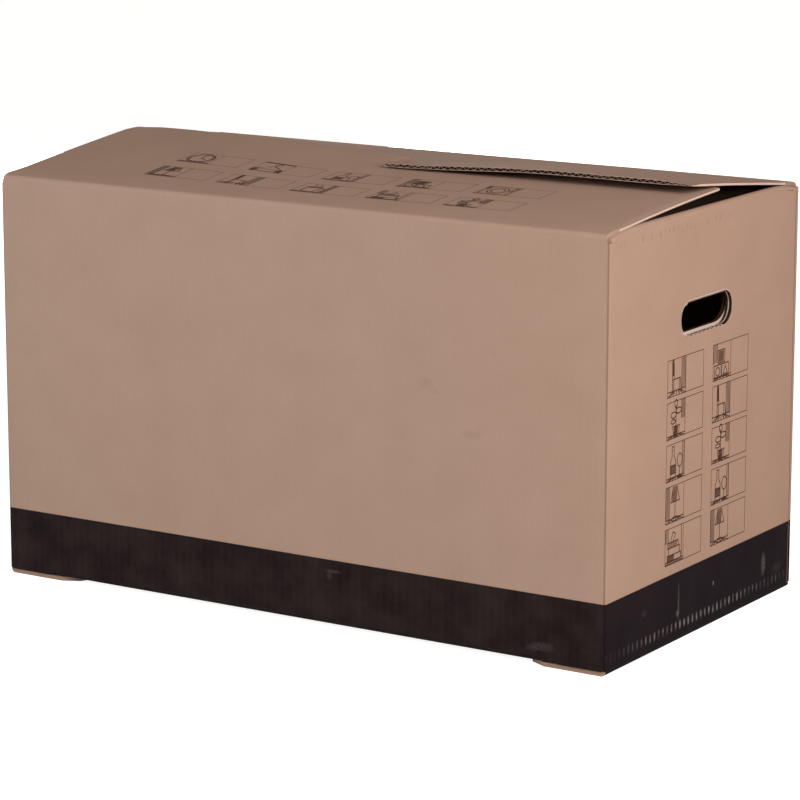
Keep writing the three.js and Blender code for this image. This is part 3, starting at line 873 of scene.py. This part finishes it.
def endBottomFlap():
    tuck = 2 * lift
    neck = foot["neckWidth"] / 2
    full = halfWidth - foot["endInset"]
    angles = np.linspace(0, -math.pi / 2, 9)
    plan = np.array([(foot["shoulder"] * 0.5, full, 0), (foot["shoulder"] - foot["chamfer"], full, 0),
                     (foot["shoulder"] + 2, full - foot["chamfer"] * 0.6, 0), (foot["neckDepth"], neck, 0),
                     (foot["rampStart"], neck, 0), (foot["rampStart"] + foot["rampRun"], neck, tuck),
                     (foot["endDepth"] - 8, neck, tuck), (foot["endDepth"], neck - 10, tuck)])
    startHalf = halfWidth - board["corner"]
    half = np.concatenate([startHalf + (full - startHalf) * (-angles / (math.pi / 2)), plan[:, 1]])
    grids = []
    for sink in (0.0, thick):
        radius = board["fold"] - sink
        px = np.concatenate([halfLength - board["fold"] + radius * np.cos(angles), halfLength - plan[:, 0]])
        pz = np.concatenate([board["fold"] + radius * np.sin(angles), plan[:, 2] + sink])
        grids.append(crossGrid(px, pz, half, 15))
    run = board["fold"] - lift + np.concatenate([board["fold"] * angles,
                                                 -board["fold"] * math.pi / 2 - plan[:, 0]])
    blank = np.stack([grids[0][..., 1], np.repeat(run[:, None], 15, 1)], -1)
    return boardPart(grids[0], grids[1], blank)


makePair(("frontBottomFlap", "rearBottomFlap"), [longBottomFlap()], [printedKraft, insideKraft, cutEdge])
# the end bottom flaps' cut edges take the darker inside liner, painted shade
makePair(("rightBottomFlap", "leftBottomFlap"), [endBottomFlap()], [printedKraft, insideKraft, insideKraft])
print("bottom flaps made")

# print: ruled fields to tick, each with a plain household pictogram in its left half
fields = {
    "width": 67.0,
    "height": 32.7,
    "line": 0.7,
    "lift": 0.06,          # of the ruled lines above the board, and of the drawings over them
    "drawingLift": 0.084,
    "flapX": -189.0,
    "flapPitch": 81.0,
    "flapRows": (41.0, 92.0),
    "flapHeight": 32.0,
    "endY": (-70.8, 14.5),
    "endTop": 253.7,
    "endPitch": 37.8,
}


def ring(cx, cy, rx, ry, start=0, end=360):
    a = np.radians(np.linspace(start, end, 25))
    return np.stack([cx + rx * np.cos(a), cy + ry * np.sin(a)], -1)


def frameOf(x0, y0, x1, y1):
    return np.array([(x0, y0), (x1, y0), (x1, y1), (x0, y1), (x0, y0)])


def hatch(x0, y0, x1, y1, count):
    step = (x1 - x0) / count
    return [((x0 + step * k, y0), (x0 + step * (k + 0.6), y1)) for k in range(count)]


def wallpaper(x0, y0, x1, y1, count):
    step = (x1 - x0) / count
    return [((x0 + step * k, y0), (x0 + step * k, y1)) for k in range(count + 1)]


def boards(y0, y1, count):
    # floor boards that spread towards the viewer, the outer two straight down
    feet = [-0.05 + 1.1 * k / count if 0 < k < count else float(k > 0) for k in range(count + 1)]
    return [((0, y1), (1, y1))] + [((0.3 + 0.4 * k / count, y1), (foot, y0)) for k, foot in enumerate(feet)]


# each motif is a list of lines in a square of side 1, x right and y up
pictograms = {
    "lamp": [((.3, .55), (.42, .9), (.62, .9), (.74, .55), (.3, .55)), ((.52, .55), (.52, .14)),
             ring(.52, .12, .18, .05), *hatch(.38, .58, .62, .86, 6)],
    "chair": [((.28, .92), (.3, .1)), ((.3, .46), (.68, .46), (.74, .1)), ((.36, .46), (.36, .12)),
              ((.62, .46), (.64, .12)), ((.28, .92), (.36, .92), (.38, .5)), *hatch(.3, .56, .37, .88, 3)],
    "cup": [((.24, .6), (.3, .16), (.62, .16), (.68, .6), (.24, .6)), ring(.7, .4, .12, .14, -70, 90),
            ring(.46, .6, .22, .05), ((.36, .7), (.4, .78), (.35, .86)), ((.52, .7), (.56, .78), (.51, .86)),
            ring(.46, .12, .32, .04)],
    "books": [frameOf(.16, .12, .82, .28), frameOf(.22, .28, .76, .46), frameOf(.18, .46, .7, .6),
              ((.3, .6), (.44, .84), (.56, .78), (.44, .6)), *hatch(.18, .13, .5, .27, 9),
              *hatch(.22, .47, .66, .59, 8)],
    "plant": [((.34, .34), (.4, .08), (.62, .08), (.68, .34), (.34, .34)), ((.5, .34), (.5, .84)),
              ring(.38, .62, .13, .07, 20, 380), ring(.63, .7, .13, .07), ring(.5, .88, .07, .1),
              ring(.36, .46, .11, .05), *hatch(.4, .1, .6, .32, 7)],
    "clock": [ring(.5, .5, .36, .38), ring(.5, .5, .31, .33), ((.5, .5), (.5, .76)), ((.5, .5), (.66, .42)),
              ((.5, .86), (.5, .8)), ((.5, .2), (.5, .14)), ((.16, .5), (.2, .5)), ((.8, .5), (.84, .5))],
    "hanger": [((.1, .3), (.5, .62), (.9, .3), (.1, .3)), ((.5, .62), (.5, .72)),
               ring(.55, .8, .06, .08, -140, 160), ((.2, .3), (.24, .1), (.76, .1), (.8, .3))],
    "bottle": [((.26, .1), (.26, .52), (.34, .64), (.34, .88), (.44, .88), (.44, .64), (.52, .52), (.52, .1),
                (.26, .1)),
               frameOf(.27, .22, .51, .42), ring(.72, .5, .12, .16), ((.72, .34), (.72, .12)),
               ring(.72, .11, .1, .03), *hatch(.28, .23, .5, .41, 6)],
    "blocks": [frameOf(.12, .1, .46, .42), frameOf(.5, .1, .84, .42), frameOf(.3, .46, .64, .78),
               ring(.29, .26, .1, .1), ((.56, .16), (.67, .36), (.78, .16), (.56, .16)),
               *hatch(.34, .5, .6, .74, 7)],
    "plate": [ring(.5, .48, .26, .3), ring(.5, .48, .17, .2), ((.12, .1), (.12, .62)),
              ((.08, .86), (.08, .64), (.16, .64), (.16, .86)), ((.12, .62), (.12, .86)),
              ((.88, .1), (.88, .88), (.82, .74), (.82, .5), (.88, .48))],
}
# and the setting behind it, a floor or shelf with a few lines of wallpaper
settings = {
    "lamp": [*boards(0, .1, 5), *wallpaper(.02, .1, .2, 1, 3)],
    "chair": [*boards(0, .14, 6), *wallpaper(.78, .14, .98, 1, 3)],
    "cup": [((0, .1), (1, .1)), ((0, .04), (1, .04)), *wallpaper(.86, .1, .98, .98, 2)],
    "books": [((0, .09), (1, .09)), ((0, .03), (1, .03)), ((.9, .09), (.9, 1)),
              *wallpaper(.03, .62, .16, 1, 2)],
    "plant": [*boards(0, .08, 5), *wallpaper(.8, .5, .98, 1, 3)],
    "clock": [*wallpaper(0, 0, 1, .1, 16), ((0, .1), (1, .1))],
    "hanger": [((0, .93), (1, .93)), ((0, .97), (1, .97)), *wallpaper(.02, .02, .14, .24, 4),
               *wallpaper(.86, .02, .98, .24, 4)],
    "bottle": [*boards(0, .08, 6), *wallpaper(.9, .08, .98, 1, 1)],
    "blocks": [*boards(0, .08, 5), *wallpaper(.02, .5, .22, 1, 3)],
    "plate": [*wallpaper(0, .02, 1, .08, 14), ((0, .92), (1, .92))],
}


def fieldLines(x0, y0, width, height, motif):
    # a box to tick in the right half, and the motif before its setting in the left half
    middle = x0 + width / 2
    box = [frameOf(x0, y0, x0 + width, y0 + height), np.array([(middle, y0), (middle, y0 + height)])]
    drawing = [(np.array(line) - 0.5) * 1.12 + 0.5 for line in pictograms[motif]]
    drawing += [np.array(line) for line in settings[motif]]
    return box, [line * (width / 2, height) + (x0, y0) for line in drawing]


def printPart(cells, surface, weight):
    rules, drawings = [], []
    for cell in cells:
        box, drawing = fieldLines(*cell)
        rules += box
        drawings += drawing
    # ruled lines and drawings keep a hair's breadth between their levels
    return [strokePart(rules, fields["line"], lambda a, b: surface(a, b, fields["lift"])),
            strokePart(drawings, fields["line"] * weight, lambda a, b: surface(a, b, fields["drawingLift"]))]


motifs = list(pictograms)
flapCells = [(fields["flapX"] + i * fields["flapPitch"], d, fields["width"], fields["flapHeight"],
              motifs[(i + 5 * j) % 10])
             for j, d in enumerate(fields["flapRows"]) for i in range(5)]
endCells = [(y, lift + fields["endTop"] - fields["height"] - k * fields["endPitch"], fields["width"],
             fields["height"], motifs[(3 * k + 7 * c + 1) % 10])
            for c, y in enumerate(fields["endY"]) for k in range(5)]


def onFrontFlap(x, d, rise):
    return np.stack([x, -halfWidth + d, topLevel + flapHeight(x, d) + rise], -1)


def onFringe(x, d):
    return onFrontFlap(x, d, 0.08 - crush(x, d) * 0.7)


# the top liner frays to a pale hair line along the half of each free edge that lies on top
fringeLine = np.array([(-halfLength + 5, flapDepth - 0.45), (-3, flapDepth - 0.45)])
makePair(("frontFlapFringe", "rearFlapFringe"), [strokePart([fringeLine], 0.8, onFringe)], [cutEdge])
makePiece("flapPrint", printPart(flapCells, onFrontFlap, 1.9), [printInk])
makePair(("rightEndPrint", "leftEndPrint"), printPart(endCells, onRightWall, 1.5), [printInk])
print("print made")

# camera, light and floor
view = {"lens": 153.0, "place": (1.6856, -2.6278, 0.8408), "yaw": 32.625, "pitch": 12.061}
cameraData = bpy.data.cameras.new("camera")
cameraData.lens, cameraData.sensor_width = view["lens"], 36.0
camera = addObject("camera", cameraData)
camera.location = view["place"]
camera.rotation_euler = (math.radians(90 - view["pitch"]), 0, math.radians(view["yaw"]))
bpy.context.scene.camera = camera

studio = {
    "key": {"place": (1.9, -0.88, 1.2), "size": 0.9, "power": 41.0, "colour": "#FFF3EE"},
    "front": {"place": (-0.65, -1.45, 0.78), "size": 1.3, "power": 11.8, "colour": "#F4FAFF"},
    "fill": {"place": (-2.1, -2.7, 0.6), "size": 1.4, "power": 5.0, "colour": "#F8FBFF"},
    "back": {"place": (-1.9, 2.3, 0.36), "size": 1.0, "power": 34.0, "colour": "#FFF8F2"},
}
for name, lamp in studio.items():
    data = bpy.data.lights.new(name, "AREA")
    data.shape, data.size, data.energy = "SQUARE", lamp["size"], lamp["power"]
    data.color = hexColour(lamp["colour"])[:3]
    light = addObject(name, data)
    light.location = lamp["place"]
    aim = np.array([0.0, 0.0, 0.2]) - np.array(lamp["place"])
    flatReach = math.hypot(aim[0], aim[1])
    light.rotation_euler = (math.atan2(flatReach, -aim[2]), 0, math.atan2(-aim[0], aim[1]))
    light.visible_camera = False


def seenDirectly(tree):
    # 1 for camera, glossy and transmission rays, which see the white backdrop itself
    seen = 0.0
    for ray in ("Is Camera Ray", "Is Glossy Ray", "Is Transmission Ray"):
        seen = addNode(tree, "Math", [seen, addNode(tree, "LightPath", out=ray)], operation="MAXIMUM")
    return seen


backdrop = {
    "ambient": "#FFE8D2",
    "ambientStrength": 0.18,
    "floor": "#E4E4E4",
    "floorGlow": 0.88,
    "floorReach": 30.0,
    "floorLevel": -0.0004,
}
white = (1, 1, 1, 1)
world = bpy.data.worlds.new("studioWorld")
world.use_nodes = True
bpy.context.scene.world = world
tree = world.node_tree
tree.nodes.clear()
ambient = addNode(tree, "Background", [hexColour(backdrop["ambient"]), backdrop["ambientStrength"]])
addNode(tree, "OutputWorld", {"Surface": addNode(tree, "MixShader", [
    seenDirectly(tree), ambient, addNode(tree, "Background", [white, 1.0])])})

reach = backdrop["floorReach"]
floorMesh = bpy.data.meshes.new("floor")
floorMesh.from_pydata([(-reach, -reach, 0), (reach, -reach, 0), (reach, reach, 0), (-reach, reach, 0)], [],
                      [(0, 1, 2, 3)])
floorMaterial, tree = newMaterial("paleFloor")
matt = addNode(tree, "BsdfDiffuse", {"Color": hexColour(backdrop["floor"])})
lit = addNode(tree, "AddShader", [matt, addNode(tree, "Emission", [white, backdrop["floorGlow"]])])
shown = addNode(tree, "MixShader", [seenDirectly(tree), matt, lit])
# seen from below the floor is clear, so that the underside of the box can be looked at
addNode(tree, "OutputMaterial", {"Surface": addNode(tree, "MixShader", [
    addNode(tree, "NewGeometry", out="Backfacing"), shown, addNode(tree, "BsdfTransparent")])})
floorMesh.materials.append(floorMaterial)
floor = addObject("floor", floorMesh)
floor.location.z = backdrop["floorLevel"]
bpy.context.scene.view_settings.view_transform = "Standard"
print("camera, light and floor ready")
